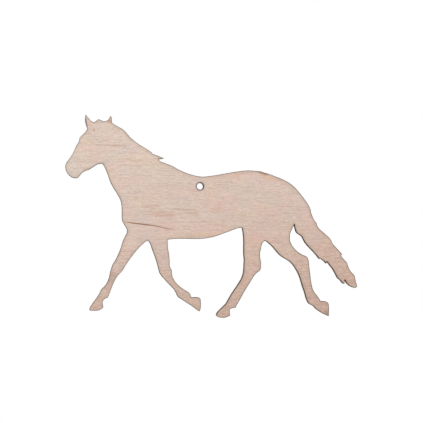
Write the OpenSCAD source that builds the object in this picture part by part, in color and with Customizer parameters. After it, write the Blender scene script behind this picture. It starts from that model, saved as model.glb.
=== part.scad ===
// Trotting horse cut out of thin three-ply birch board, with one round hole for hanging it up.
// Millimetres. X runs along the horse with its head at -X, +Z is up and -Y is the front of the board.
// The origin is on the axis of the hanging hole, at half the thickness of the board.

/* [Horse] */
// Length over all, from the nose to the end of the tail
horse_length = 100; // [60:1:200]
// Height over all, from the lowest hoof to the tip of the ears
horse_height = 69.5; // [42:0.1:140]

/* [Board] */
// Thickness of each face veneer, whose grain runs along the horse
face_veneer_t = 0.9; // [0.4:0.05:3]
// Thickness of the core veneer, whose grain runs upright
core_veneer_t = 1; // [0.4:0.05:4]
// Thickness of each glue line
glue_line_t = 0.1; // [0.05:0.01:0.3]

/* [Hanging hole] */
// Diameter of the hole
hole_d = 2.2; // [1.5:0.1:4]
// Height of the dip of the back above the middle of the hole
hole_drop = 3.3; // [3:0.1:6]

/* [Fineness] */
// Straight steps between two neighbouring points of the outline
steps = 2; // [2:1:6]

/* [Hidden] */

face_wood = "#d9c2b3";
core_wood = "#c9ab94";
glue_brown = "#5a4638";

// Length of the cutter past both faces of the board
cutter_overrun = 1;
hole_fn = 48;

// Where the hole sits along the drawn outline
drawn_hole_x = -0.2;

// The outline, as [x, z] from a point just behind the hole, clockwise from the poll as seen from
// the front. Each stretch is one smooth curve. It starts at a sharp corner and ends at the first
// point of the next stretch.
near_ear_front = [[-38.8, 19.7], [-39.2, 20.7], [-39.6, 22.2], [-39.6, 23.7]];
near_ear_back_and_forelock = [
    [-39.4, 24.6], [-38.9, 23.9], [-38.2, 23.1], [-37.6, 22.4], [-36.6, 21.9], [-36.0, 22.2],
    [-35.3, 22.8], [-35.0, 22.9], [-34.2, 22.6], [-33.2, 22.2], [-32.0, 22.5], [-31.4, 23.2]];
far_ear = [[-30.9, 24.1], [-30.5, 23.5], [-30.4, 22.7]];
crest = [
    [-30.4, 21.8], [-29.4, 21.0], [-28.1, 20.3], [-26.7, 19.5], [-25.9, 18.8], [-24.1, 16.7],
    [-22.2, 15.1], [-20.4, 13.9], [-17.8, 12.3]];
mane_step = [[-16.7, 11.5]];
mane_end_top = [[-16.6, 11.1], [-15.0, 10.6], [-13.6, 10.0]];
mane_end_under = [[-12.6, 9.6], [-13.2, 9.4], [-13.9, 9.3]];
mane_slit_under = [[-14.5, 9.3], [-14.2, 9.0], [-14.1, 8.7]];
back = [
    [-13.8, 8.5], [-12.9, 8.2], [-11.4, 7.6], [-9.6, 6.9], [-7.9, 5.9], [-6.0, 5.0],
    [-4.2, 4.3], [-2.4, 3.8], [-0.6, 3.4], [1.0, 3.3], [2.9, 3.5], [5.7, 3.9], [9.5, 4.6],
    [13.3, 5.2], [16.2, 5.5]];
croup = [
    [18.2, 5.4], [20.6, 5.2], [21.8, 4.8], [23.9, 4.2], [26.1, 3.3], [28.2, 2.5], [30.1, 1.5],
    [31.7, 0.4], [33.2, -1.1], [34.7, -2.9], [36.3, -5.0], [37.6, -7.1], [38.0, -8.1],
    [38.1, -8.9], [38.8, -10.8], [39.4, -11.9]];
tail_top = [
    [40.1, -12.7], [40.2, -13.5], [41.2, -14.8], [42.6, -16.0], [43.9, -17.2], [45.1, -18.5],
    [45.4, -19.4], [46.4, -20.6], [47.6, -21.9], [48.6, -23.0]];
tail_upper_lock = [[48.9, -23.4]];
tail_end_top = [
    [48.5, -23.8], [49.3, -24.9], [50.6, -26.4], [51.1, -28.0], [51.9, -29.3], [53.0, -30.5]];
tail_tip = [
    [53.3, -31.1], [53.5, -32.2], [53.7, -33.1], [54.0, -34.0], [53.9, -34.7], [53.3, -35.0],
    [52.6, -34.8], [51.6, -34.4], [51.0, -33.9], [50.4, -33.3], [50.1, -32.7]];
tail_notch = [[49.9, -32.1], [49.7, -32.9]];
tail_lower_lock = [
    [49.7, -33.6], [49.2, -33.5], [48.2, -32.3], [47.5, -31.8], [46.8, -30.7], [46.0, -29.1],
    [44.6, -27.2], [43.9, -26.3]];
tail_small_lock_end = [[43.6, -25.9]];
tail_small_lock = [[43.4, -26.6], [42.4, -25.6]];
tail_under = [
    [41.7, -25.1], [41.0, -25.0], [40.2, -24.0], [38.7, -22.3], [37.3, -20.9], [36.0, -19.3],
    [35.3, -18.0]];
tail_root = [[34.9, -17.2], [33.7, -16.4], [33.1, -15.9], [32.8, -15.2], [32.5, -14.1]];
far_hind_leg_back = [
    [32.3, -13.0], [32.1, -13.7], [31.8, -14.2], [31.2, -15.5], [30.8, -16.5], [30.8, -17.4],
    [30.8, -18.6], [31.5, -20.2], [32.2, -21.2], [33.3, -22.3], [34.9, -23.4], [36.3, -24.0],
    [36.8, -24.4], [37.0, -24.8], [37.3, -25.8], [37.5, -27.9], [37.8, -30.0], [38.0, -32.0],
    [38.3, -33.8], [38.7, -35.3], [39.3, -36.5], [40.2, -37.6], [41.0, -38.8]];
far_hind_hoof_top = [[41.3, -39.4], [42.2, -39.5], [43.2, -39.6]];
far_hind_hoof_heel = [[44.0, -40.1], [44.2, -40.7], [44.3, -41.8], [44.3, -43.2]];
far_hind_leg_front = [
    [44.2, -44.7], [43.5, -44.4], [42.2, -43.8], [40.9, -43.0], [39.8, -42.2], [38.9, -41.2],
    [38.3, -40.9], [37.5, -40.5], [36.9, -39.7], [36.3, -38.2], [35.8, -36.3], [35.1, -34.4],
    [34.5, -32.3], [33.8, -30.3], [32.7, -28.3], [31.8, -27.0], [30.6, -25.8], [29.1, -24.9],
    [27.7, -24.0], [26.7, -23.1], [25.0, -21.0], [23.5, -19.6], [22.8, -19.0]];
near_hind_thigh_back = [
    [22.1, -18.7], [21.5, -19.3], [21.1, -20.0], [20.8, -21.4], [20.5, -23.0], [20.5, -24.4],
    [20.8, -26.0], [20.8, -27.5], [20.7, -28.4]];
near_hind_cannon_back = [
    [20.3, -29.1], [19.1, -30.0], [18.1, -31.3], [17.1, -32.9], [16.0, -34.7], [14.9, -36.5],
    [13.8, -38.5], [12.9, -40.1], [12.3, -41.1]];
near_hind_hoof_top = [[12.1, -41.7], [10.9, -41.9]];
near_hind_hoof_heel = [[10.1, -42.2], [10.0, -42.7], [10.1, -43.8]];
near_hind_hoof_sole = [
    [10.1, -44.4], [9.2, -44.9], [7.9, -45.2], [6.7, -45.1], [5.8, -44.8]];
near_hind_leg_front = [
    [5.4, -44.4], [5.5, -43.7], [6.2, -42.8], [7.4, -41.6], [8.7, -40.3], [9.4, -39.1],
    [10.5, -37.2], [11.9, -35.1], [13.1, -33.3], [14.0, -31.8], [14.5, -30.5], [14.8, -28.9],
    [14.9, -27.0], [15.0, -25.4], [14.8, -23.2], [14.8, -21.0], [14.8, -18.1], [14.6, -15.9]];
belly = [
    [14.3, -14.3], [12.9, -14.4], [10.2, -15.4], [7.4, -16.4], [4.6, -17.4], [2.5, -17.8],
    [0.4, -18.1], [-3.0, -18.1], [-9.0, -18.1]];
far_foreleg_back = [
    [-11.3, -18.4], [-11.2, -21.0], [-10.8, -23.5], [-10.6, -25.5], [-10.6, -27.3],
    [-9.9, -28.8], [-9.7, -30.8], [-8.8, -32.6], [-7.1, -34.4], [-5.2, -35.7], [-3.8, -36.6],
    [-3.4, -37.6]];
far_fore_hoof = [
    [-3.1, -38.1], [-2.1, -38.1], [-1.0, -38.1], [-0.3, -38.3], [0.0, -38.8], [0.1, -39.6],
    [0.1, -41.4], [-0.1, -42.4], [-0.3, -42.9]];
far_foreleg_front = [
    [-0.6, -42.9], [-1.6, -42.2], [-2.9, -41.2], [-4.5, -40.2], [-6.0, -39.2], [-7.3, -38.4],
    [-8.0, -37.6], [-8.4, -36.7], [-9.4, -35.1], [-11.0, -33.5], [-12.6, -31.7], [-13.5, -30.7],
    [-14.1, -29.7], [-14.8, -27.1], [-15.6, -24.4], [-16.6, -21.8], [-17.3, -19.7],
    [-17.8, -19.0]];
near_foreleg_back = [
    [-18.3, -18.7], [-19.0, -19.2], [-20.8, -20.8], [-22.7, -23.0], [-24.2, -25.0],
    [-25.7, -27.2], [-26.7, -28.9], [-27.8, -30.1], [-28.6, -31.0], [-29.6, -32.8],
    [-30.4, -34.7], [-31.2, -36.8], [-31.6, -37.8]];
near_fore_hoof = [
    [-31.9, -38.3], [-33.0, -38.7], [-33.4, -39.4], [-33.5, -40.0], [-33.4, -40.7],
    [-33.3, -41.4], [-33.9, -42.1], [-35.1, -42.6], [-36.6, -42.7]];
near_foreleg_front = [
    [-38.0, -42.6], [-38.1, -42.1], [-37.5, -40.9], [-36.3, -39.2], [-35.1, -37.5],
    [-34.5, -36.4], [-34.1, -35.5], [-33.0, -34.4], [-32.1, -33.1], [-31.4, -31.4],
    [-31.0, -29.4], [-30.4, -27.5], [-30.0, -26.6], [-29.3, -25.5], [-28.3, -23.5],
    [-27.3, -21.0], [-26.6, -18.7], [-25.7, -16.8]];
chest = [
    [-25.2, -15.8], [-25.3, -14.7], [-25.8, -13.8], [-26.7, -12.3], [-27.0, -11.0],
    [-27.0, -8.4], [-27.2, -5.8], [-27.6, -4.5], [-28.6, -2.6], [-29.9, -0.6], [-31.0, 1.5],
    [-31.7, 3.6], [-32.4, 5.4], [-33.3, 7.2]];
jaw_and_face = [
    [-33.7, 7.7], [-34.9, 7.6], [-35.8, 7.2], [-37.0, 6.4], [-38.3, 5.6], [-39.6, 5.2],
    [-40.5, 4.6], [-41.5, 3.4], [-42.1, 2.8], [-43.2, 2.7], [-44.3, 3.1], [-45.5, 4.1],
    [-46.1, 5.2], [-46.4, 6.5], [-46.2, 7.6], [-45.7, 8.4], [-44.5, 10.0], [-43.4, 12.0],
    [-42.6, 13.9], [-41.7, 15.3], [-41.5, 16.5], [-40.9, 17.2], [-40.0, 18.0], [-39.1, 19.1]];

stretches = [
    near_ear_front, near_ear_back_and_forelock, far_ear, crest, mane_step, mane_end_top,
    mane_end_under, mane_slit_under, back, croup, tail_top, tail_upper_lock, tail_end_top,
    tail_tip, tail_notch, tail_lower_lock, tail_small_lock_end, tail_small_lock, tail_under,
    tail_root, far_hind_leg_back, far_hind_hoof_top, far_hind_hoof_heel, far_hind_leg_front,
    near_hind_thigh_back, near_hind_cannon_back, near_hind_hoof_top, near_hind_hoof_heel,
    near_hind_hoof_sole, near_hind_leg_front, belly, far_foreleg_back, far_fore_hoof,
    far_foreleg_front, near_foreleg_back, near_fore_hoof, near_foreleg_front, chest,
    jaw_and_face];

// A centripetal Catmull-Rom curve: it passes through every point and never loops on a short span.
function knot(a, b) = sqrt(norm(b - a));
function mix(a, b, ta, tb, t) = ((tb - t) * a + (t - ta) * b) / (tb - ta);
function on_span(a, b, c, d, share) =
    let (
        t1 = knot(a, b),
        t2 = t1 + knot(b, c),
        t3 = t2 + knot(c, d),
        t = t1 + share * (t2 - t1),
        bc = mix(b, c, t1, t2, t),
        abc = mix(mix(a, b, 0, t1, t), bc, 0, t2, t),
        bcd = mix(bc, mix(c, d, t2, t3, t), t1, t3, t))
    mix(abc, bcd, t1, t2, t);

// Both ends of a stretch carry on in a straight line, so its curve meets the corner cleanly.
function before(p, i) = i > 0 ? p[i - 1] : 2 * p[0] - p[1];
function after(p, i) = i < len(p) - 1 ? p[i + 1] : 2 * p[i] - p[i - 1];
function smooth(p) = [
    for (i = [0:len(p) - 2], s = [0:steps - 1])
        on_span(before(p, i), p[i], p[i + 1], after(p, i + 1), s / steps)];

drawn = [
    for (i = [0:len(stretches) - 1])
        let (next = stretches[(i + 1) % len(stretches)])
            each smooth(concat(stretches[i], [next[0]]))];
drawn_x = [for (p = drawn) p[0]];
drawn_z = [for (p = drawn) p[1]];
back_z = [for (p = smooth(back)) p[1]];
dip_z = min(back_z);

// The drawn outline at the length and height asked for, with the hole at the origin and the dip
// of the back above it
length_scale = horse_length / (max(drawn_x) - min(drawn_x));
height_scale = horse_height / (max(drawn_z) - min(drawn_z));
outline = [
    for (p = drawn)
        [(p[0] - drawn_hole_x) * length_scale, (p[1] - dip_z) * height_scale + hole_drop]];

board_t = 2 * face_veneer_t + 2 * glue_line_t + core_veneer_t;
front_y = -board_t / 2;
front_glue_y = front_y + face_veneer_t;
core_y = front_glue_y + glue_line_t;
back_glue_y = core_y + core_veneer_t;
back_y = back_glue_y + glue_line_t;

module hanging_hole() {
    rotate([90, 0, 0])
        cylinder(d = hole_d, h = board_t + 2 * cutter_overrun, center = true, $fn = hole_fn);
}

// One layer of the board, from its front side at y to its back side at y + thickness
module layer(y, thickness) {
    difference() {
        translate([0, y + thickness, 0])
            rotate([90, 0, 0])
                linear_extrude(thickness) polygon(outline);
        hanging_hole();
    }
}

module front_face_veneer() {
    color(face_wood) layer(front_y, face_veneer_t);
}

module front_glue_line() {
    color(glue_brown) layer(front_glue_y, glue_line_t);
}

module core_veneer() {
    color(core_wood) layer(core_y, core_veneer_t);
}

module back_glue_line() {
    color(glue_brown) layer(back_glue_y, glue_line_t);
}

module back_face_veneer() {
    color(face_wood) layer(back_y, face_veneer_t);
}

front_face_veneer();
front_glue_line();
core_veneer();
back_glue_line();
back_face_veneer();
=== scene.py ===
# %% [markdown]
# # A trotting horse cut out of birch plywood
#
# The real thing is a craft blank: a laser beam follows the outline of a horse through a thin board,
# and one small hole in the withers takes a cord. The board is three sheets of birch veneer with a
# film of resin glue between them. Nothing in it moves.
#
# What makes it look real is all in the surface: the sanded veneer with its fine streaks, the brown
# line that the beam leaves round every edge, and the striped, smoked wall of the cut. The frame
# below already has each sheet at its real size, so this lesson dresses those sheets and never
# moves or resizes them.

# %% Load the frame
import math
from collections import namedtuple

import bmesh
import bpy
import numpy as np
from mathutils import Matrix, Vector, geometry


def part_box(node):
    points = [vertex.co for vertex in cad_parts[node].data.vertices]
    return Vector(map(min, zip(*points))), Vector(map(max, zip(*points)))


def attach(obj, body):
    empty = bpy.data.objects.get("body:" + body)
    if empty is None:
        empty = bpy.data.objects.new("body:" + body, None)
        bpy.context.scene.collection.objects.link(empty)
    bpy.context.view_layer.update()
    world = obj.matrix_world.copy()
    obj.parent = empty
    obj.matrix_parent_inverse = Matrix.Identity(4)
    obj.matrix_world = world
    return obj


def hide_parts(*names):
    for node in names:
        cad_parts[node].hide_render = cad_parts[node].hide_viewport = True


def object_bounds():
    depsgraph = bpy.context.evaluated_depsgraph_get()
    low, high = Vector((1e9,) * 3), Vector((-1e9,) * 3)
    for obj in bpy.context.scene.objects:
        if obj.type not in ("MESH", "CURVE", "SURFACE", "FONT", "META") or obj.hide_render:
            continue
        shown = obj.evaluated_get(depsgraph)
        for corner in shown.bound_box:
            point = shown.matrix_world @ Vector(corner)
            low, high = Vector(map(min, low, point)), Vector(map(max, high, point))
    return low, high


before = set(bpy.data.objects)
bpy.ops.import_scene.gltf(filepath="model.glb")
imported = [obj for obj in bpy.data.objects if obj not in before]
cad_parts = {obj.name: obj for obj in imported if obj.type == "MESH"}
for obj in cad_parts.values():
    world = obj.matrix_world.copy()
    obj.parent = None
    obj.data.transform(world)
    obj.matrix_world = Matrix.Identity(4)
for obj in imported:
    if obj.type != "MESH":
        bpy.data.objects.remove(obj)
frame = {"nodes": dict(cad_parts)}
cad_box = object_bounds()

MM = 0.001
print("sheets:", ", ".join(frame["nodes"]))
print("box in mm:", [[round(c / MM, 2) for c in corner] for corner in cad_box])

# %% [markdown]
# ## Reading the outline
#
# Every sheet has the same outline, so it is read once, from the front sheet. That mesh is loose
# triangles, so a copy of it is welded first. An edge with a triangle of the front face on one side
# and a triangle of the cut wall on the other belongs to the rim, and walking from edge to edge gives
# the closed loops: the horse, and the hanging hole.
#
# The loops could be typed in again, but then a change of the horse's size would not reach the looks.

# %% Loops of the rim
WELD = 1e-6
# A triangle belongs to the front if its normal has less than this along Y
FRONT_FACING = -0.9


def rim_loops(node):
    """The closed loops of (x, z) in mm around the front side of a sheet, the longest first."""
    mesh = bmesh.new()
    mesh.from_mesh(frame["nodes"][node].data)
    bmesh.ops.remove_doubles(mesh, verts=mesh.verts, dist=WELD)
    mesh.normal_update()
    follows = {}
    for edge in mesh.edges:
        fronts = [face for face in edge.link_faces if face.normal.y < FRONT_FACING]
        if len(fronts) == 1:
            for corner in fronts[0].loops:
                if corner.edge == edge:
                    follows[corner.vert] = corner.link_loop_next.vert
    loops = []
    while follows:
        start, vert = next(iter(follows.items()))
        loop = []
        while vert in follows:
            loop.append((vert.co.x / MM, vert.co.z / MM))
            vert = follows.pop(vert)
        loops.append(np.array(loop))
    mesh.free()
    return sorted(loops, key=len, reverse=True)


rim = rim_loops("front_face_veneer")
print("loops of the rim, in points:", [len(loop) for loop in rim])

# %% [markdown]
# ## Even points along the cut
#
# A laser cuts in pulses, and each pulse leaves a shallow flute in the wall. To carry the flutes, the
# rim needs points at an even spacing much finer than the outline has. The points are spread between
# one sharp corner and the next, so ears, locks of the tail and hooves keep their corners.
#
# Each point also gets the direction that leads out of the wood, and the room it has: the radius of
# the largest circle that touches the rim there and stays in the wood. A burnt edge may then be drawn
# back by a hair without turning a thin ear tip inside out.

# %% Even points with their directions
# In mm: the spacing of the points, and the most room that is counted
POINT_SPACING = 0.125
MOST_ROOM = 5.0
SHARP_TURN = math.radians(30)
# Distances are worked out for so many points at once, to save memory
POINTS_AT_ONCE = 200
# Points that lie less than this far in from a rim point say nothing about the room there
LEAST_INWARD = 1e-4


def turns(loop):
    """The angle that a loop turns through at each point."""
    before = loop - np.roll(loop, 1, axis=0)
    after = np.roll(loop, -1, axis=0) - loop
    cross = before[:, 0] * after[:, 1] - before[:, 1] * after[:, 0]
    return np.arctan2(cross, (before * after).sum(axis=1))


def even_points(loop):
    """The loop with points POINT_SPACING apart, and its sharp corners kept."""
    corners = np.flatnonzero(np.abs(turns(loop)) > SHARP_TURN)
    start = corners[0] if len(corners) else 0
    loop = np.roll(loop, -start, axis=0)
    stops = list((corners - start) % len(loop)) if len(corners) else [0]
    closed = np.vstack([loop, loop[:1]])
    run = np.concatenate([[0], np.cumsum(np.hypot(*np.diff(closed, axis=0).T))])
    points = []
    for low, high in zip(stops, stops[1:] + [len(loop)]):
        count = max(1, round((run[high] - run[low]) / POINT_SPACING))
        at = np.linspace(run[low], run[high], count, endpoint=False)
        points.append(np.column_stack([np.interp(at, run, closed[:, axis]) for axis in (0, 1)]))
    return np.vstack(points)


def outward(loop):
    """Unit directions out of the wood: to the right of the way that the loop runs."""
    along = np.roll(loop, -1, axis=0) - np.roll(loop, 1, axis=0)
    along /= np.hypot(*along.T)[:, None]
    return np.column_stack([along[:, 1], -along[:, 0]])


def distance_to(points, others):
    """How far each point is from the nearest of the others."""
    nearest = [
        np.hypot(*(others[:, None] - part).transpose(2, 0, 1)).min(axis=0)
        for part in np.array_split(points, max(1, len(points) // POINTS_AT_ONCE))]
    return np.concatenate(nearest)


def room_inside(points, directions):
    """The radius of the largest circle in the wood that touches the rim at each point."""
    room = []
    for point, direction in zip(points, directions):
        reach = points - point
        inward = -(reach @ direction)
        ahead = inward > LEAST_INWARD
        radii = (reach[ahead] ** 2).sum(axis=1) / (2 * inward[ahead])
        room.append(min(MOST_ROOM, radii.min()))
    return np.array(room)


loops = [even_points(loop) for loop in rim]
rim_points = np.vstack(loops)
rim_out = np.vstack([outward(loop) for loop in loops])
rim_room = room_inside(rim_points, rim_out)
travel = np.concatenate([np.arange(len(loop)) * POINT_SPACING for loop in loops])
perimeter = [len(loop) * POINT_SPACING for loop in loops]
print("way of the beam in mm:", [round(length, 1) for length in perimeter])
print("narrowest wood in mm:", round(2 * float(np.percentile(rim_room, 1)), 2))

# %% [markdown]
# ## What is wood and what is not
#
# A ray that runs from a point along +X crosses the rim an odd number of times if the point is in the
# wood, and an even number if it is outside or in the hole. The face below uses this twice: to drop
# points that fell out of a thin lock of the tail, and to drop triangles that bridge a gap.

# %% Test for wood
def in_wood(points):
    """True for each point of a row of (x, z) that lies in the wood."""
    crossings = np.zeros(len(points), int)
    for loop in loops:
        start, end = loop, np.roll(loop, -1, axis=0)
        for (x0, z0), (x1, z1) in zip(start, end):
            if z0 != z1:
                near = np.flatnonzero((points[:, 1] > z0) != (points[:, 1] > z1))
                reach = x0 + (points[near, 1] - z0) / (z1 - z0) * (x1 - x0)
                crossings[near[reach > points[near, 0]]] += 1
    return crossings % 2 == 1


print("wood at the hole's middle:", bool(in_wood(np.zeros((1, 2)))[0]))

# %% [markdown]
# ## The flat face of a sheet
#
# The face is flat, so its shape needs few points, but the brown beside the cut is a colour that fades
# within a millimetre and a half. A value stored on the points carries it: the distance to the cut.
# So the face gets rows of points that follow the rim at set distances, and a wide grid in between.
# A triangulation that keeps the rim's edges joins them all.
#
# The hidden sheets need one row only: it keeps their triangles from becoming long slivers, which
# would turn over when the rim is drawn back.

# %% Faces with rows of points beside the cut
# Each row: its distance from the cut in mm, and which of the rim's points it follows: every one,
# every second one and so on
SHOWN_ROWS = ((0.12, 1), (0.3, 2), (0.65, 4), (1.2, 8), (2.0, 12))
HIDDEN_ROWS = ((0.3, 2), (1.0, 6))
# A point of a row stays if it keeps this share of its distance from every part of the rim
ROW_SHARE = 0.93
GRID_SPACING = 1.6
# What delaunay_2d_cdt gives back, and how close two points may be before they count as one
UP_TO_THE_RIM = 1
SAME_POINT = 1e-5


def row_points(distance, every):
    """Points at one distance from the cut, left out where the wood is too narrow for them."""
    points = (rim_points - rim_out * distance)[::every]
    return points[in_wood(points) & (distance_to(points, rim_points) > ROW_SHARE * distance)]


def grid_points(clear):
    """A wide triangular grid in the wood, this far or more from the cut."""
    low, high = rim_points.min(axis=0), rim_points.max(axis=0)
    rise = GRID_SPACING * math.sqrt(3) / 2
    grid = [
        (x + (GRID_SPACING / 2 if line % 2 else 0), z)
        for line, z in enumerate(np.arange(low[1], high[1], rise))
        for x in np.arange(low[0], high[0], GRID_SPACING)]
    grid = np.array(grid)
    return grid[in_wood(grid) & (distance_to(grid, rim_points) > clear)]


def sheet_face(name, rows):
    """A flat mesh of the horse at y = 0 that faces +Y, with the values that the cut needs."""
    inner = [row_points(*row) for row in rows] + [grid_points(rows[-1][0] + GRID_SPACING / 3)]
    points = np.vstack([rim_points] + inner)
    edges, first = [], 0
    for loop in loops:
        edges += [(first + i, first + (i + 1) % len(loop)) for i in range(len(loop))]
        first += len(loop)
    filled = geometry.delaunay_2d_cdt(
        [Vector(point) for point in points], edges, [], UP_TO_THE_RIM, SAME_POINT)
    verts, _, faces, origins = filled[:4]
    middles = np.array(verts)[np.array(faces)].mean(axis=1)
    faces = [face for face, wood in zip(faces, in_wood(middles)) if wood]
    mesh = bpy.data.meshes.new(name)
    mesh.from_pydata([(x * MM, 0, z * MM) for x, z in verts], [], [f[::-1] for f in faces])
    count = len(rim_points)
    on_rim = np.array([min(origin, default=count) for origin in origins])
    known = on_rim < count
    index = np.where(known, on_rim, 0)
    out = np.where(known[:, None], rim_out[index], 0)
    values = {
        "out_x": out[:, 0],
        "out_z": out[:, 1],
        "room": np.where(known, rim_room[index], 0),
        "travel": np.where(known, travel[index], 0),
        "cut_distance": np.where(known, 0, distance_to(np.array(verts), rim_points)),
    }
    for key, value in values.items():
        mesh.attributes.new(key, "FLOAT", "POINT").data.foreach_set("value", value.astype("f4"))
    facing = mesh.polygons[0].normal.y
    print(f"{name}: {len(verts)} points, {len(faces)} triangles, facing y {facing:+.0f}")
    return mesh


shown_face = sheet_face("shown face", SHOWN_ROWS)
hidden_face = sheet_face("hidden face", HIDDEN_ROWS)

# %% [markdown]
# ## One small helper for nodes
#
# Both the shapes and the finishes below are node trees. One function adds a node with its settings
# and plugs in its inputs, so each tree reads from top to bottom like a recipe. Two more start a
# material and turn a colour to linear light.

# %% Helper for nodes and colours
def add_node(tree, kind, inputs=None, **settings):
    """Adds a node: settings are its properties, inputs hold plain values or other nodes' outputs."""
    made = tree.nodes.new(kind)
    for name, value in settings.items():
        setattr(made, name, value)
    for socket, value in (inputs or {}).items():
        if isinstance(value, bpy.types.NodeSocket):
            tree.links.new(value, made.inputs[socket])
        else:
            made.inputs[socket].default_value = value
    return made


def new_material(name):
    """A material with an empty node tree, and that tree."""
    made = bpy.data.materials.new(name)
    made.use_nodes = True
    made.node_tree.nodes.clear()
    return made, made.node_tree


def linear(colour):
    """An sRGB hex colour such as "#808080" as linear red, green, blue and alpha."""
    parts = [int(colour[i:i + 2], 16) / 255 for i in (1, 3, 5)]
    return [p / 12.92 if p <= 0.04045 else ((p + 0.055) / 1.055) ** 2.4 for p in parts] + [1.0]


print("half of full red, green and blue in linear light:", round(linear("#808080")[0], 3))

# %% [markdown]
# ## Cutting a sheet: a tree that thickens the face
#
# A sheet follows one rule: take the face, draw its rim back a little where the beam burnt it, and
# extrude it through the sheet's thickness in three steps, so that both arrises are eased. That is a
# job for Geometry Nodes, because the same tree cuts all five layers with other numbers:
#
# - *Burn back* is how far the beam ate into this layer. Glue burns further than wood.
# - *Flute depth* and *Flute pitch* are the marks of the pulses. A real pitch is about 0.1 mm, too
#   fine to show, so it is drawn at half a millimetre.
# - *Arris* is the small rounding where the wall meets the face.
#
# The tree starts with its named inputs and with the values that are stored on the rim.

# %% Inputs of the cutting tree
TREE_INPUTS = (
    ("Geometry", "NodeSocketGeometry"), ("Thickness", "NodeSocketFloat"),
    ("Burn back", "NodeSocketFloat"), ("Flute depth", "NodeSocketFloat"),
    ("Flute pitch", "NodeSocketFloat"), ("Arris", "NodeSocketFloat"),
    ("Seed", "NodeSocketFloat"), ("Face finish", "NodeSocketMaterial"),
    ("Wall finish", "NodeSocketMaterial"))

cut_tree = bpy.data.node_groups.new("Laser-cut layer", "GeometryNodeTree")
for name, kind in TREE_INPUTS:
    cut_tree.interface.new_socket(name, in_out="INPUT", socket_type=kind)
cut_tree.interface.new_socket("Geometry", in_out="OUTPUT", socket_type="NodeSocketGeometry")
given = add_node(cut_tree, "NodeGroupInput").outputs
values = {name: given[name] for name, kind in TREE_INPUTS}
for name in ("travel", "room", "out_x", "out_z"):
    values[name] = add_node(
        cut_tree, "GeometryNodeInputNamedAttribute", {"Name": name}, data_type="FLOAT").outputs[0]
print("inputs:", ", ".join(values))

# %% [markdown]
# ### How far the rim is drawn back
#
# The flutes are noise along the way of the beam, the same for the whole thickness of a layer. The
# rest are sums, so they are kept in a table: each row adds one Math node, and a later row may use
# what an earlier one found. Everything is in mm until a row multiplies it by MM.

# %% Sums of the cutting tree
# The wall is drawn back by no more than this share of the room that the wood has
ROOM_SHARE = 0.4
# Result, operation, and two inputs: numbers, or names of inputs and of earlier results
SUMS = (
    ("flute", "MULTIPLY", "pulse", "Flute depth"),
    ("limit", "MULTIPLY", "room", ROOM_SHARE),
    ("burnt", "ADD", "Burn back", "flute"),
    ("wall back", "MINIMUM", "burnt", "limit"),
    ("eased", "ADD", "wall back", "Arris"),
    ("arris back", "MINIMUM", "eased", "limit"),
    ("step out", "SUBTRACT", "arris back", "wall back"),
    ("draw the rim back", "MULTIPLY", "arris back", -MM),
    ("go out to the wall", "MULTIPLY", "step out", MM),
    ("come in to the arris", "MULTIPLY", "step out", -MM),
    ("arris depth", "MULTIPLY", "Arris", MM),
    ("both arrises", "MULTIPLY", "arris depth", 2.0),
    ("thickness", "MULTIPLY", "Thickness", MM),
    ("wall depth", "SUBTRACT", "thickness", "both arrises"),
)

way = add_node(cut_tree, "ShaderNodeMath", {
    0: values["travel"], 1: values["Flute pitch"]}, operation="DIVIDE").outputs[0]
way = add_node(cut_tree, "ShaderNodeMath", {
    0: way, 1: values["Seed"]}, operation="ADD").outputs[0]
values["pulse"] = add_node(cut_tree, "ShaderNodeTexNoise", {
    "W": way, "Scale": 1.0, "Detail": 1.0}, noise_dimensions="1D").outputs[0]
for result, operation, first, second in SUMS:
    values[result] = add_node(cut_tree, "ShaderNodeMath", {
        0: values.get(first, first), 1: values.get(second, second)},
        operation=operation, label=result).outputs[0]
print("sums:", len(SUMS))

# %% [markdown]
# ### Extruding the layer
#
# The face is extruded three times: out to the wall, along the wall, and in to the other arris. Each
# time the new top may move along the way out of the wood. The sides get a mark, because they take
# another finish than the faces.
#
# No move is larger than a share of the room, so a thin ear tip can't turn inside out.

# %% Extruding
# How high each step is, and where its top then moves
STEPS = (
    ("arris depth", "go out to the wall"), ("wall depth", None),
    ("arris depth", "come in to the arris"))

way_out = add_node(cut_tree, "ShaderNodeCombineXYZ", {
    0: values["out_x"], 2: values["out_z"]}).outputs[0]
moves = {
    name: add_node(cut_tree, "ShaderNodeVectorMath", {
        0: way_out, "Scale": values[name]}, operation="SCALE").outputs[0]
    for name in ("draw the rim back", "go out to the wall", "come in to the arris")}
flat = add_node(cut_tree, "GeometryNodeSetPosition", {
    "Geometry": values["Geometry"], "Offset": moves["draw the rim back"]}).outputs[0]
along_y = add_node(cut_tree, "ShaderNodeCombineXYZ", {1: 1.0}).outputs[0]

solid, chosen, wall = flat, {}, False
for depth, move in STEPS:
    step = add_node(cut_tree, "GeometryNodeExtrudeMesh", {
        "Mesh": solid, "Offset": along_y, "Offset Scale": values[depth], "Individual": False,
        **chosen}, mode="FACES")
    solid, chosen = step.outputs["Mesh"], {"Selection": step.outputs["Top"]}
    wall = add_node(cut_tree, "FunctionNodeBooleanMath", {
        0: wall, 1: step.outputs["Side"]}, operation="OR").outputs[0]
    if move:
        solid = add_node(cut_tree, "GeometryNodeSetPosition", {
            "Geometry": solid, "Offset": moves[move], **chosen}).outputs[0]
print("steps through the thickness:", len(STEPS))

# %% [markdown]
# ### Closing the layer
#
# The face itself, turned over, closes the bottom, and its rim is welded to the rim of the wall. The
# tree ends in Realize Instances and Set Material, so the finished mesh carries its finishes.

# %% Closing the layer
# Points closer than this, in metres, are welded
CLOSED_BY = 1e-7

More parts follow.
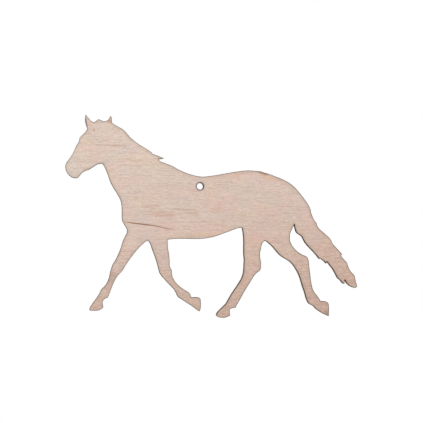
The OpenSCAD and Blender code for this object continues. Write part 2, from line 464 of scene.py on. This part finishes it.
marked = add_node(cut_tree, "GeometryNodeStoreNamedAttribute", {
    "Geometry": solid, "Name": "is_wall", "Value": wall},
    data_type="BOOLEAN", domain="FACE").outputs[0]
bottom = add_node(cut_tree, "GeometryNodeFlipFaces", {"Mesh": flat}).outputs[0]
joined = add_node(cut_tree, "GeometryNodeJoinGeometry")
for part in (bottom, marked):
    cut_tree.links.new(part, joined.inputs[0])
welded = add_node(cut_tree, "GeometryNodeMergeByDistance", {
    "Geometry": joined.outputs[0], "Distance": CLOSED_BY}).outputs[0]
real = add_node(cut_tree, "GeometryNodeRealizeInstances", {"Geometry": welded}).outputs[0]
faced = add_node(cut_tree, "GeometryNodeSetMaterial", {
    "Geometry": real, "Material": values["Face finish"]}).outputs[0]
is_wall = add_node(
    cut_tree, "GeometryNodeInputNamedAttribute", {"Name": "is_wall"}, data_type="BOOLEAN")
done = add_node(cut_tree, "GeometryNodeSetMaterial", {
    "Geometry": faced, "Selection": is_wall.outputs[0], "Material": values["Wall finish"]})
add_node(cut_tree, "NodeGroupOutput", {"Geometry": done.outputs[0]})
print("cutting tree:", len(cut_tree.nodes), "nodes")

# %% [markdown]
# ## Finish 1: sanded birch veneer
#
# Birch veneer is peeled off a turning log with a long knife, laid with its grain along the board and
# sanded. It is pale pinkish tan and nearly even, and the eye reads it by five faint things:
#
# - fine short streaks along the grain, a tenth of a millimetre high: the fibres and small vessels;
# - longer streaks and soft clouds of pink, yellow and grey-beige, a few millimetres wide;
# - a slow drift of the whole sheet, here from pale at the head to browner at hooves and tail, partly
#   the wood's tone and partly painted shade;
# - a few marks of the tree: a brown mineral streak, a brown hairline, a pin knot, and warm or
#   reddish streaks at the girth, in the flank and on the croup;
# - the brown line and the warm halo that the beam leaves beside the cut, and its smoke on thin
#   parts such as an ear, a cannon and a toe.
#
# Noise stretched along X gives the streaks, and everything is measured in millimetres on the piece
# itself. All but the drift are laid over the bare wood like stains, one after the other, so two
# helpers serve them: one makes a pattern, and one lays a stain as strongly as the patterns say.

# %% Patterns and stains
# What a finish needs while it is built: its tree, the place on the piece in mm, as one vector and
# as X, Y and Z, and a seed that makes its noise differ from another veneer's
Veneer = namedtuple("Veneer", "tree in_mm xyz seed")
PATTERN_ROUGHNESS = 0.55


def pattern(veneer, length, height, detail, shift):
    """Noise with features of this length along the grain and this height across it, in mm."""
    stretched = add_node(veneer.tree, "ShaderNodeMapping", {
        "Vector": veneer.in_mm, "Location": (veneer.seed + shift, 0, veneer.seed - shift),
        "Scale": (1 / length, 1 / height, 1 / height)}).outputs[0]
    return add_node(veneer.tree, "ShaderNodeTexNoise", {
        "Vector": stretched, "Scale": 1.0, "Detail": detail,
        "Roughness": PATTERN_ROUGHNESS}).outputs[0]


def stain(veneer, wood, colour, *shares):
    """Lays a colour over the wood, as strongly as the product of its shares.

    A share is a number, the output of a node, or a rule: an output, the shares at two of its
    values, and those two values.
    """
    strength = 1.0
    for share in shares:
        if isinstance(share, tuple):
            value, low, high, start, end = share
            share = add_node(veneer.tree, "ShaderNodeMapRange", {
                "Value": value, "From Min": start, "From Max": end,
                "To Min": low, "To Max": high}).outputs[0]
        strength = add_node(veneer.tree, "ShaderNodeMath", {
            0: strength, 1: share}, operation="MULTIPLY").outputs[0]
    return add_node(veneer.tree, "ShaderNodeMix", {
        "Factor": strength, "A": wood, "B": linear(colour)},
        data_type="RGBA", clamp_factor=True).outputs["Result"]


print("a veneer holds:", ", ".join(Veneer._fields))

# %% [markdown]
# ### The grain
#
# First come the soft clouds, then the long streaks, fine lines that come and go, and the short
# streaks and vessels. Birch has no bold rings in a peeled sheet, so no stain is strong. The short
# ones stand out more on the thin legs and the tail, which the smoke darkened.

# %% The grain
BARE_BIRCH = "#dcc8ba"
DARK_FIBRE, PALE_FIBRE = "#ab9083", "#f0e5d8"
# Length along the grain and height across it in mm, detail, and a shift off the other patterns
PATTERNS = {
    "pink clouds": (7, 5, 1, 0),
    "warm clouds": (8, 6, 2, 5),
    "long streaks": (6, 0.35, 1, 11),
    "lines": (8, 0.13, 1, 17),
    "breaks": (2.8, 0.25, 0, 29),
    "short streaks": (1.3, 0.12, 1, 23),
    "vessels": (0.7, 0.1, 0, 37),
}
MORE_ON_LEGS = ("Z", 1.7, 1.0, -28, -18)
# A colour, and its rules: a pattern, the shares at two of its values, and those two values
GRAIN = (
    ("#e6c0b6", ("pink clouds", 0, 0.4, 0.5, 0.75)),
    ("#d2ccb6", ("pink clouds", 0.4, 0, 0.25, 0.5)),
    ("#ecc7a3", ("warm clouds", 0, 0.27, 0.5, 0.75)),
    ("#d0c8cd", ("warm clouds", 0.27, 0, 0.25, 0.5)),
    ("#bda18f", ("long streaks", 0, 0.18, 0.45, 0.75)),
    (DARK_FIBRE, ("lines", 0, 1, 0.48, 0.8), ("breaks", 0, 0.66, 0.35, 0.65)),
    (PALE_FIBRE, ("lines", 1, 0, 0.2, 0.52), ("breaks", 0.41, 0, 0.35, 0.65)),
    (DARK_FIBRE, ("short streaks", 0, 0.5, 0.5, 0.8), MORE_ON_LEGS),
    (PALE_FIBRE, ("short streaks", 0.45, 0, 0.2, 0.5), MORE_ON_LEGS),
    ("#a58777", ("vessels", 0, 0.45, 0.6, 0.72), MORE_ON_LEGS),
)


def grain(veneer):
    """Bare birch with its clouds, streaks and vessels, and the patterns that they follow."""
    found = {name: pattern(veneer, *numbers) for name, numbers in PATTERNS.items()}
    found["Z"] = veneer.xyz["Z"]
    wood = linear(BARE_BIRCH)
    for colour, *rules in GRAIN:
        wood = stain(veneer, wood, colour, *((found[name], *rule) for name, *rule in rules))
    return wood, found


print("stains of the grain:", len(GRAIN))

# %% [markdown]
# ### The slow drift, partly painted shade
#
# The board is palest at the head and toned down towards the hooves and the tail. Part of that is the
# wood's own tone, and part is painted shade: light that falls off towards the tail and the hooves. A
# colour ramp over a slanting height holds the tones, and multiplying keeps the grain under them.

# %% The slow drift, partly painted shade
# A height in mm, measured along the slant, and the tone that multiplies the wood there, partly
# painted shade
DRIFT_WITH_PAINTED_SHADE = ((-50, "#e8d8d2"), (-10, "#f8f4f4"), (20, "#ffffff"))
DRIFT_WITH_PAINTED_SHADE_SLANT = 0.25


def drift_with_painted_shade(veneer, wood):
    """The wood toned down along the slant: partly its own tone, partly painted shade."""
    slope = add_node(veneer.tree, "ShaderNodeMath", {
        0: veneer.xyz["X"], 1: -DRIFT_WITH_PAINTED_SHADE_SLANT, 2: veneer.xyz["Z"]},
        operation="MULTIPLY_ADD").outputs[0]
    low, high = DRIFT_WITH_PAINTED_SHADE[0][0], DRIFT_WITH_PAINTED_SHADE[-1][0]
    share = add_node(veneer.tree, "ShaderNodeMapRange", {
        "Value": slope, "From Min": low, "From Max": high}).outputs[0]
    tones = add_node(veneer.tree, "ShaderNodeValToRGB", {"Fac": share})
    ramp = tones.color_ramp
    while len(ramp.elements) < len(DRIFT_WITH_PAINTED_SHADE):
        ramp.elements.new(0.5)
    for element, (at, tone) in zip(ramp.elements, DRIFT_WITH_PAINTED_SHADE):
        element.position = (at - low) / (high - low)
        element.color = linear(tone)
    return add_node(veneer.tree, "ShaderNodeMix", {
        "Factor": 1.0, "A": wood, "B": tones.outputs[0]},
        data_type="RGBA", blend_type="MULTIPLY", clamp_factor=True).outputs["Result"]


print("tones of the drift:", len(DRIFT_WITH_PAINTED_SHADE))

# %% [markdown]
# ### Marks of the tree
#
# Each mark is a round spot, stretched and turned to its place, with a ragged rim. Where it is made
# of many fibres, a pattern breaks it up. Such marks are what the eye finds again on a real board.

# %% Marks of the tree
# Each mark: middle x and z, half length, half height and turn, in mm and degrees, its colour, how
# strong it is and how far the fibres break it up, from 0 to 1
FRONT_MARKS = (
    ("mineral streak", -19.9, -12.95, 8.3, 0.36, -7.0, "#94694f", 0.95, 0.0),
    ("tail of the mineral streak", -12.4, -14.2, 5.2, 0.32, -12.0, "#9a725c", 0.7, 0.0),
    ("brown hairline", -31.9, 14.0, 8.5, 0.22, -0.5, "#b08c74", 0.6, 0.0),
    ("darker end of the hairline", -27.8, 13.9, 4.0, 0.3, 0.0, "#b3896c", 0.4, 0.0),
    ("pink band under the hairline", -38.4, 13.0, 5.0, 1.2, 0.0, "#e6b8b0", 0.35, 0.6),
    ("pin knot", -36.2, 19.0, 0.5, 0.6, 0.0, "#8a7a74", 0.5, 0.0),
    ("upper brown streaks at the girth", -16.3, -7.0, 4.8, 1.1, 0.0, "#b7805f", 0.6, 0.9),
    ("middle streaks", -13.8, -9.3, 8.0, 1.5, -0.5, "#bd8a68", 0.4, 1.0),
    ("lower streaks", -10.8, -10.2, 4.5, 1.0, 0.0, "#b7805f", 0.3, 0.8),
    ("thin dark streak behind them", -6.6, -8.0, 3.4, 0.4, -7.0, "#a0765c", 0.28, 0.4),
    ("short streaks behind it", -2.8, -8.8, 4.6, 1.6, -4.0, "#bd8568", 0.5, 1.0),
    ("reddish streaks in the flank", 5.6, -8.2, 4.5, 1.2, 0.0, "#cf8e72", 0.5, 0.9),
    ("wisps above them", 5.9, -6.3, 2.8, 1.9, 0.0, "#d8a594", 0.35, 1.0),
    ("warm streaks at the belly", 0.5, -16.3, 4.5, 0.8, 0.0, "#dcb48c", 0.35, 0.5),
    ("warm spot in the loin", 12.5, 3.8, 3.0, 0.8, 5.0, "#d8a582", 0.4, 0.3),
    ("warm patch on the croup", 22.8, 3.2, 3.6, 1.1, -15.0, "#d8a87e", 0.5, 0.3),
    ("reddish band behind it", 27.4, 1.5, 4.5, 0.9, -26.0, "#dfa68e", 0.4, 0.3),
    ("brown streak on the croup", 21.6, 4.4, 2.6, 0.38, -17.0, "#84593f", 0.85, 0.0),
    ("brownish cannon of the far foreleg", -30.0, -31.2, 3.0, 3.0, 0.0, "#a68f7a", 0.45, 0.0),
    ("scorched toe of the far hind hoof", 44.3, -43.6, 2.6, 2.0, 0.0, "#6f5a4d", 0.5, 0.0),
    ("browned root of the far ear", -30.9, 22.2, 1.2, 0.9, 0.0, "#a87f62", 0.5, 0.0),
    ("smoked edge of the near ear", -39.3, 21.9, 0.9, 4.0, 11.0, "#3c3029", 0.8, 0.0),
)
BACK_MARKS = (
    ("mineral streak", 9.0, -8.5, 7.0, 0.25, 4.0, "#a58572", 0.5, 0.0),
)
# Patterns as for the grain: what makes the rim of a mark ragged, and the fibres that break it up
RAGS = (2.0, 0.5, 3, 51)
FIBRES = (4.0, 0.35, 2, 61)
RAGGED_BY = 0.35
# Rules: how a mark fades at its rim, and between which values of the fibres it comes and goes
RIM_RULE = (0, 1, 0.08, 0.55)
FIBRE_VALUES = (0.42, 0.6)
# A spot reaches this far through the board, in mm, so it is the same at every depth
SPOT_DEPTH = 1000


def spot(veneer, label, x, z, half_length, half_height, turn=0.0):
    """One in the middle of a stretched round spot, falling to nothing at its rim."""
    moved = add_node(veneer.tree, "ShaderNodeMapping", {
        "Vector": veneer.in_mm, "Location": (x, 0, z),
        "Rotation": (0, -math.radians(turn), 0),
        "Scale": (half_length, SPOT_DEPTH, half_height)}, vector_type="TEXTURE", label=label)
    return add_node(veneer.tree, "ShaderNodeTexGradient", {
        0: moved.outputs[0]}, gradient_type="SPHERICAL").outputs["Fac"]


def with_marks(veneer, wood, marks):
    """The wood with its marks laid on one after the other."""
    ragged = add_node(veneer.tree, "ShaderNodeMapRange", {
        "Value": pattern(veneer, *RAGS), "To Min": -0.5, "To Max": 0.5}).outputs[0]
    fibres = pattern(veneer, *FIBRES)
    for label, x, z, half_length, half_height, turn, colour, strength, broken in marks:
        inside = add_node(veneer.tree, "ShaderNodeMath", {
            0: ragged, 1: RAGGED_BY, 2: spot(veneer, label, x, z, half_length, half_height, turn)},
            operation="MULTIPLY_ADD").outputs[0]
        wood = stain(
            veneer, wood, colour, (inside, *RIM_RULE),
            (fibres, 1 - broken, 1, *FIBRE_VALUES), strength)
    return wood


print("marks:", len(FRONT_MARKS), "in front and", len(BACK_MARKS), "behind")

# %% [markdown]
# ### The burn beside the cut
#
# The beam leaves a warm halo about a millimetre wide and a dark line right at the cut. The smoke
# drifts tailwards and down, so the muzzle keeps least of it. A hole is cut in one small circle, so
# its rim takes the heat again and again and is nearly black. The stored distance to the cut tells
# where all this lies.

# %% The burn
# Each part of the burn: its colour, and how far from the cut in mm it starts to fade and ends
CHAR_LINE, LINE_FADE = "#453324", (0.07, 0.33)
WARM_HALO, HALO_FADE, HALO_STRENGTH = "#b39c8a", (0.0, 1.4), 0.45
HOLE_CHAR, HOLE_FADE = "#2f2523", (0.15, 0.5)
# Radius around the axis of the hanging hole within which the burn is that dark, and the rule by
# which it ends there
HOLE_BURN, HOLE_RULE = 2.4, (0, 1, 0, 0.1)
# Rules for the strength of the smoke: an axis, the shares at two places on it, and those places
SMOKE = (("X", 0.77, 1.0, -44, -20), ("X", 1.0, 1.25, 0, 30), ("Z", 1.13, 1.0, -32, -20))
# Patterns and rules that make the halo and the line uneven
HALO_PATTERN, HALO_RULE = (3, 3, 2, 67), (0.4, 1.3, 0.3, 0.7)
LINE_PATTERN, LINE_RULE = (0.5, 0.5, 2, 83), (0.75, 1.1, 0.3, 0.7)


def burn(veneer, wood):
    """The wood with the halo, the line at the cut and the dark rim of the hole."""
    gap = add_node(
        veneer.tree, "ShaderNodeAttribute", attribute_name="cut_distance").outputs["Fac"]
    smoke = [(veneer.xyz[axis], *rule) for axis, *rule in SMOKE]
    halo = add_node(veneer.tree, "ShaderNodeMapRange", {
        "Value": gap, "From Min": HALO_FADE[0], "From Max": HALO_FADE[1],
        "To Min": HALO_STRENGTH, "To Max": 0.0}, interpolation_type="SMOOTHERSTEP").outputs[0]
    wood = stain(
        veneer, wood, WARM_HALO, halo, (pattern(veneer, *HALO_PATTERN), *HALO_RULE), *smoke)
    wood = stain(
        veneer, wood, CHAR_LINE, (gap, 1.0, 0, *LINE_FADE),
        (pattern(veneer, *LINE_PATTERN), *LINE_RULE), *smoke)
    hole = spot(veneer, "around the hole", 0, 0, HOLE_BURN, HOLE_BURN)
    return stain(veneer, wood, HOLE_CHAR, (gap, 1.0, 0, *HOLE_FADE), (hole, *HOLE_RULE))


print("line at the cut in mm:", LINE_FADE[1])

# %% [markdown]
# ### The whole veneer
#
# Bare sanded wood has no film on it, so it stays rough, with the index of refraction of cellulose,
# about 1.5. The sanding leaves the streaks standing a hair proud, which the bump shows.

# %% Sanded birch veneer
BIRCH_IOR = 1.5
BIRCH_ROUGHNESS = 0.68
# How high the streaks stand, and how strongly that turns the light
SANDED_RELIEF, SANDED_BUMP = 0.02 * MM, 0.35


def birch_veneer(name, seed, marks):
    """Bare sanded birch with its grain along X, and the burn beside the cut."""
    made, tree = new_material(name)
    place = add_node(tree, "ShaderNodeTexCoord").outputs["Object"]
    in_mm = add_node(tree, "ShaderNodeMapping", {
        "Vector": place, "Scale": (1 / MM, 1 / MM, 1 / MM)}).outputs[0]
    xyz = add_node(tree, "ShaderNodeSeparateXYZ", {0: in_mm}).outputs
    veneer = Veneer(tree, in_mm, xyz, seed)
    wood, found = grain(veneer)
    # Partly painted shade: the wood darkens along the slant towards the hooves and the tail
    wood = drift_with_painted_shade(veneer, wood)
    wood = with_marks(veneer, wood, marks)
    wood = burn(veneer, wood)

    relief = add_node(tree, "ShaderNodeMath", {
        0: found["short streaks"], 1: found["long streaks"]}, operation="ADD")
    bump = add_node(tree, "ShaderNodeBump", {
        "Height": relief.outputs[0], "Strength": SANDED_BUMP, "Distance": SANDED_RELIEF})
    surface = add_node(tree, "ShaderNodeBsdfPrincipled", {
        "Base Color": wood, "Roughness": BIRCH_ROUGHNESS, "IOR": BIRCH_IOR,
        "Normal": bump.outputs[0]})
    add_node(tree, "ShaderNodeOutputMaterial", {"Surface": surface.outputs[0]})
    return made


front_birch = birch_veneer("sanded birch, front", 3.0, FRONT_MARKS)
back_birch = birch_veneer("sanded birch, back", 40.0, BACK_MARKS)
for made in (front_birch, back_birch):
    print(f"{made.name}: {len(made.node_tree.nodes)} nodes")

# %% [markdown]
# ## Finish 2: the wall of the cut
#
# The beam burns its way through, so the wall is brown char. Two things vary it. The pulses leave
# stripes that run straight through the board. And each veneer shows either its fibres' sides or
# their open ends: end grain soaks up more heat and goes darker. In the faces the fibres run along X
# and in the core along Z, so along one stretch of the wall the core is the dark band between two
# paler ones, and round the next bend it is the other way round.
#
# The way the wall faces tells side grain from end grain, so one function makes both finishes, with
# the fibre direction as its input.

# %% Laser-browned walls
WALL_SIDE_GRAIN, WALL_END_GRAIN = "#6c5545", "#4f3e32"
# A wall whose normal has less than the first of these along the fibres is all side grain, and one
# with more than the second is all end grain
GRAIN_TURN = (0.2, 0.95)
DEEP_CHAR, SCORCHED, SOOT = "#2f231c", "#a4866c", "#3a2b22"
PATTERN_STRENGTH = 0.6
# Pitch of the stripes along the wall and their length through the board, and the same for the
# soot. Real stripes are about 0.1 mm apart, too fine to show, so these are as far apart as the flutes
STRIPE_SIZE = (0.5 * MM, 6 * MM)
SOOT_SIZE = (5 * MM, 1.5 * MM)
STRIPE_RELIEF, STRIPE_BUMP = 0.04 * MM, 0.6
# Char is matt all over, and its soot swallows most of what it would mirror
CHAR_ROUGHNESS, CHAR_SHINE = 0.9, 0.15


def browned_wall(name, fibre_axis, seed):
    """Charred wood whose fibres run along one axis: 0 is X and 2 is Z."""
    made, tree = new_material(name)
    place = add_node(tree, "ShaderNodeTexCoord").outputs["Object"]
    found = []
    for (along, through), location, detail, roughness in (
            (STRIPE_SIZE, (seed, seed, seed), 3.0, 0.6), (SOOT_SIZE, (seed, 0, 0), 2.0, 0.5)):
        stretched = add_node(tree, "ShaderNodeMapping", {
            "Vector": place, "Location": location,
            "Scale": (1 / along, 1 / through, 1 / along)}).outputs[0]
        found.append(add_node(tree, "ShaderNodeTexNoise", {
            "Vector": stretched, "Scale": 1.0, "Detail": detail,
            "Roughness": roughness}).outputs[0])
    stripes, soot = found

    normal = add_node(tree, "ShaderNodeNewGeometry").outputs["Normal"]
    facing = add_node(tree, "ShaderNodeSeparateXYZ", {0: normal}).outputs[fibre_axis]
    end_grain = add_node(tree, "ShaderNodeMath", {0: facing}, operation="ABSOLUTE").outputs[0]
    end_grain = add_node(tree, "ShaderNodeMapRange", {
        "Value": end_grain, "From Min": GRAIN_TURN[0], "From Max": GRAIN_TURN[1]}).outputs[0]
    wood = add_node(tree, "ShaderNodeMix", {
        "Factor": end_grain, "A": linear(WALL_SIDE_GRAIN), "B": linear(WALL_END_GRAIN)},
        data_type="RGBA").outputs["Result"]
    for value, colour, start, full in (
            (stripes, DEEP_CHAR, 0.45, 0.85), (stripes, SCORCHED, 0.5, 0.15),
            (soot, SOOT, 0.5, 0.9)):
        share = add_node(tree, "ShaderNodeMapRange", {
            "Value": value, "From Min": start, "From Max": full,
            "To Max": PATTERN_STRENGTH}).outputs[0]
        wood = add_node(tree, "ShaderNodeMix", {
            "Factor": share, "A": wood, "B": linear(colour)},
            data_type="RGBA").outputs["Result"]
    bump = add_node(tree, "ShaderNodeBump", {
        "Height": stripes, "Strength": STRIPE_BUMP, "Distance": STRIPE_RELIEF})
    surface = add_node(tree, "ShaderNodeBsdfPrincipled", {
        "Base Color": wood, "Roughness": CHAR_ROUGHNESS, "IOR": BIRCH_IOR,
        "Specular IOR Level": CHAR_SHINE, "Normal": bump.outputs[0]})
    add_node(tree, "ShaderNodeOutputMaterial", {"Surface": surface.outputs[0]})
    return made


face_wall = browned_wall("browned wall of a face veneer", 0, 5.0)
core_wall = browned_wall("browned wall of the core", 2, 9.0)
print("walls:", face_wall.name, "and", core_wall.name)

# %% [markdown]
# ## Finish 3: the glue line
#
# The sheets are bonded with a brown resin that sets hard. Only its burnt edge shows, as a hairline
# nearly black and a little glossier than the wood. It is too thin for any pattern but a slight
# change along its length.

# %% Charred resin glue
CHARRED_GLUE, BROWN_GLUE = "#1c1512", "#3d2d24"
GLUE_CHANGE = 2 * MM
RESIN_IOR = 1.55
RESIN_ROUGHNESS, RESIN_SHINE = 0.6, 0.3


def charred_glue(name):
    """Cured resin, burnt at the cut."""
    made, tree = new_material(name)
    place = add_node(tree, "ShaderNodeTexCoord").outputs["Object"]
    change = add_node(tree, "ShaderNodeTexNoise", {
        "Vector": place, "Scale": 1 / GLUE_CHANGE, "Detail": 2.0}).outputs[0]
    colour = add_node(tree, "ShaderNodeMix", {
        "Factor": change, "A": linear(CHARRED_GLUE), "B": linear(BROWN_GLUE)},
        data_type="RGBA").outputs["Result"]
    surface = add_node(tree, "ShaderNodeBsdfPrincipled", {
        "Base Color": colour, "Roughness": RESIN_ROUGHNESS, "IOR": RESIN_IOR,
        "Specular IOR Level": RESIN_SHINE})
    add_node(tree, "ShaderNodeOutputMaterial", {"Surface": surface.outputs[0]})
    return made


burnt_glue = charred_glue("charred resin glue")
print("glue:", burnt_glue.name)

# %% [markdown]
# ## Cutting the five layers
#
# Each layer takes the flat face, the cutting tree and its own numbers. The result is turned into a
# plain mesh, and the modifier goes, because the finished piece has to stand by itself.
#
# The glue is drawn back furthest and the core a little, as the beam leaves them: the wall of the
# real board is never quite flush.

# %% Cut the layers
# The face mesh, how far it is burnt back and the arris, both in mm, of each kind of layer
VENEER_CUT = (shown_face, 0.0, 0.06)
GLUE_CUT = (hidden_face, 0.07, 0.01)
CORE_CUT = (hidden_face, 0.03, 0.04)
LAYERS = (
    # node, slot, name of the piece, how it is cut, face finish, wall finish
    ("front_face_veneer", "face_veneer", "front_veneer", *VENEER_CUT, front_birch, face_wall),
    ("front_glue_line", "glue_line", "front_glue", *GLUE_CUT, burnt_glue, burnt_glue),
    ("core_veneer", "core_veneer", "core", *CORE_CUT, core_wall, core_wall),
    ("back_glue_line", "glue_line", "back_glue", *GLUE_CUT, burnt_glue, burnt_glue),
    ("back_face_veneer", "face_veneer", "back_veneer", *VENEER_CUT, back_birch, face_wall),
)
# In mm. A real pitch is about 0.1 mm, too fine to show
FLUTE_DEPTH = 0.05
FLUTE_PITCH = 0.5


def cut_layer(node, slot, name, face, burn_back, arris, face_finish, wall_finish, seed):
    """One finished layer that stands for a CAD node and fills its place in the board."""
    low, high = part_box(node)
    blank = face.copy()
    blank.materials.append(face_finish)
    source = bpy.data.objects.new(name + " blank", blank)
    bpy.context.scene.collection.objects.link(source)
    cutting = source.modifiers.new("cut", "NODES")
    cutting.node_group = cut_tree
    sizes = {
        "Thickness": (high[1] - low[1]) / MM, "Burn back": burn_back, "Flute depth": FLUTE_DEPTH,
        "Flute pitch": FLUTE_PITCH, "Arris": arris, "Seed": float(seed),
        "Face finish": face_finish, "Wall finish": wall_finish}
    for item in cut_tree.interface.items_tree:
        if item.in_out == "INPUT" and item.name in sizes:
            cutting[item.identifier] = sizes[item.name]
    bpy.context.view_layer.update()
    ready = source.evaluated_get(bpy.context.evaluated_depsgraph_get())
    mesh = bpy.data.meshes.new_from_object(ready)
    source.modifiers.remove(cutting)
    bpy.data.objects.remove(source)
    mesh.transform(Matrix.Translation((0, low[1], 0)))
    piece = bpy.data.objects.new(name, mesh)
    bpy.context.scene.collection.objects.link(piece)
    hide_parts(node)
    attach(piece, "root")
    return piece


def report(piece):
    """Prints a piece's size, and whether its shell is closed."""
    shell = bmesh.new()
    shell.from_mesh(piece.data)
    open_edges = sum(1 for edge in shell.edges if len(edge.link_faces) != 2)
    volume = shell.calc_volume(signed=True) / MM ** 3
    triangles = sum(len(face.verts) - 2 for face in shell.faces)
    shell.free()
    print(f"{piece.name}: {triangles} triangles, {volume:.0f} mm3, {open_edges} open edges")


pieces = [cut_layer(*layer, seed) for seed, layer in enumerate(LAYERS)]
for piece in pieces:
    report(piece)

# %% [markdown]
# ## Floor and background
#
# A small bright object on white is lit from all around, so that its face shows the colour of the
# wood and nothing clips. The room gives most of the light.
#
# Seen by the camera, the room is plain white, and the floor adds just enough of its own white for
# the camera to reach the same white, so that only the shadow shows on it. The floor lies well below
# the hooves, because the horse hangs. It is see-through from below.

# %% White room and floor
# How far the floor lies under the hooves, and half its width, in metres
FLOOR_DROP = 0.075
FLOOR_HALF = 0.45
FLOOR_GREY = (0.9, 0.9, 0.9, 1)
FLOOR_GLOW = 0.2
ROOM_LIGHT = 0.66
WHITE = (1, 1, 1, 1)


def white_room():
    """A room that lights everything evenly, and that the camera sees as plain white."""
    world = bpy.data.worlds.new("white room")
    bpy.context.scene.world = world
    world.use_nodes = True
    tree = world.node_tree
    tree.nodes.clear()
    path = add_node(tree, "ShaderNodeLightPath").outputs
    seen = path["Is Camera Ray"]
    for ray in ("Is Glossy Ray", "Is Transmission Ray"):
        seen = add_node(tree, "ShaderNodeMath", {
            0: seen, 1: path[ray]}, operation="MAXIMUM").outputs[0]
    strength = add_node(tree, "ShaderNodeMapRange", {
        "Value": seen, "To Min": ROOM_LIGHT, "To Max": 1.0}).outputs[0]
    light = add_node(tree, "ShaderNodeBackground", {"Color": WHITE, "Strength": strength})
    add_node(tree, "ShaderNodeOutputWorld", {"Surface": light.outputs[0]})


def white_floor():
    """A matt white floor under the horse, see-through from below."""
    made, tree = new_material("matt white floor")
    path = add_node(tree, "ShaderNodeLightPath").outputs
    lift = add_node(tree, "ShaderNodeMath", {
        0: path["Is Camera Ray"], 1: FLOOR_GLOW}, operation="MULTIPLY").outputs[0]
    matt = add_node(tree, "ShaderNodeBsdfDiffuse", {"Color": FLOOR_GREY})
    glow = add_node(tree, "ShaderNodeEmission", {"Color": WHITE, "Strength": lift})
    both = add_node(tree, "ShaderNodeAddShader", {0: matt.outputs[0], 1: glow.outputs[0]})
    clear = add_node(tree, "ShaderNodeBsdfTransparent")
    below = add_node(tree, "ShaderNodeNewGeometry").outputs["Backfacing"]
    either = add_node(tree, "ShaderNodeMixShader", {
        0: below, 1: both.outputs[0], 2: clear.outputs[0]})
    add_node(tree, "ShaderNodeOutputMaterial", {"Surface": either.outputs[0]})
    return made


white_room()
half, level = FLOOR_HALF, cad_box[0][2] - FLOOR_DROP
floor_mesh = bpy.data.meshes.new("floor")
floor_mesh.from_pydata(
    [(-half, -half, level), (half, -half, level), (half, half, level), (-half, half, level)],
    [], [(0, 1, 2, 3)])
floor_mesh.materials.append(white_floor())
floor = bpy.data.objects.new("floor", floor_mesh)
bpy.context.scene.collection.objects.link(floor)
print("floor at z", round(level / MM, 1), "mm")

# %% [markdown]
# ## Two soft lamps
#
# The room already lights the horse from everywhere, so the lamps only have to give the cut walls
# some shape and the floor a shadow. Sun lamps are the simple choice, because a far light is equally
# strong all over the board. A wide angle makes their shadows soft.

# %% Lamps
LAMP_WIDTH = math.radians(40)
# Name, the way that the light comes from, and its strength
LAMPS = (("front lamp", (-0.5, -1.0, 0.8), 1.15), ("back lamp", (0.6, 1.0, 0.9), 1.1))


def soft_lamp(name, shines_from, strength):
    """A far lamp that fills a wide piece of the sky, so its light is even and its shadow soft."""
    data = bpy.data.lights.new(name, "SUN")
    data.energy, data.angle = strength, LAMP_WIDTH
    lamp = bpy.data.objects.new(name, data)
    lamp.rotation_euler = Vector(shines_from).to_track_quat("Z", "Y").to_euler()
    bpy.context.scene.collection.objects.link(lamp)


for lamp in LAMPS:
    soft_lamp(*lamp)
    print(lamp[0], "at strength", lamp[2])

# %% [markdown]
# ## Camera
#
# The camera stands 0.7 m in front with a long lens, as for a catalogue picture of something small.
# It is a little to the head's side of square and a touch below it, so that a hair of the left and
# lower walls shows beside the face.

# %% Camera
AIM = Vector((4.02, 0, -8.6)) * MM
# In metres and degrees, and the width in metres that the view takes in at the horse
CAMERA_DISTANCE = 0.7
CAMERA_AZIMUTH = -3.75
CAMERA_ELEVATION = -0.9
SEEN_WIDTH = 0.1449
SENSOR = 36.0

side, rise = math.radians(CAMERA_AZIMUTH), math.radians(CAMERA_ELEVATION)
away = Vector((math.sin(side) * math.cos(rise), -math.cos(side) * math.cos(rise), math.sin(rise)))
camera_data = bpy.data.cameras.new("camera")
camera_data.sensor_width = SENSOR
camera_data.lens = SENSOR * CAMERA_DISTANCE / SEEN_WIDTH
camera = bpy.data.objects.new("camera", camera_data)
camera.location = AIM + away * CAMERA_DISTANCE
camera.rotation_euler = (-away).to_track_quat("-Z", "Y").to_euler()
bpy.context.scene.collection.objects.link(camera)
bpy.context.scene.camera = camera
bpy.context.scene.view_settings.view_transform = "Standard"
print("lens in mm:", round(camera_data.lens, 1))
